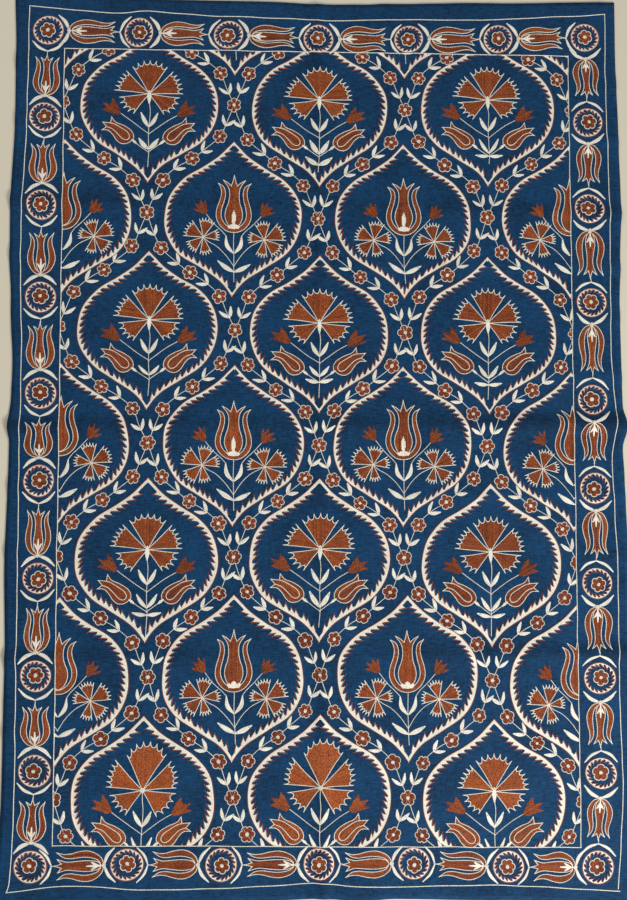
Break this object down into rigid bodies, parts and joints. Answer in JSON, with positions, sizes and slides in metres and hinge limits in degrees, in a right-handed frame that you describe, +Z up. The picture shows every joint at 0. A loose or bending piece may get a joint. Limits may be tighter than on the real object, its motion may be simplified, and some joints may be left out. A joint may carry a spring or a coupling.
{
  "type": "suzani embroidered textile",
  "caption": "Large rectangular embroidered cotton cloth with a plain hem, laid out flat, with soft storage creases standing up across it and along its edges.",
  "frame": {"origin": "middle of the cloth, on the surface that it lies on", "axes": "+Z up out of the face of the cloth, +Y along its length, +X across it to the right"},
  "size_m": [1.524, 2.224, 0.0105],
  "materials": {
    "ground_cloth": "matt plain-woven cotton, dyed blue, with laid yarn embroidery in rust and cream"
  },
  "bodies": {
    "root": {"ground_cloth": "ground_cloth"}
  },
  "joints": []
}
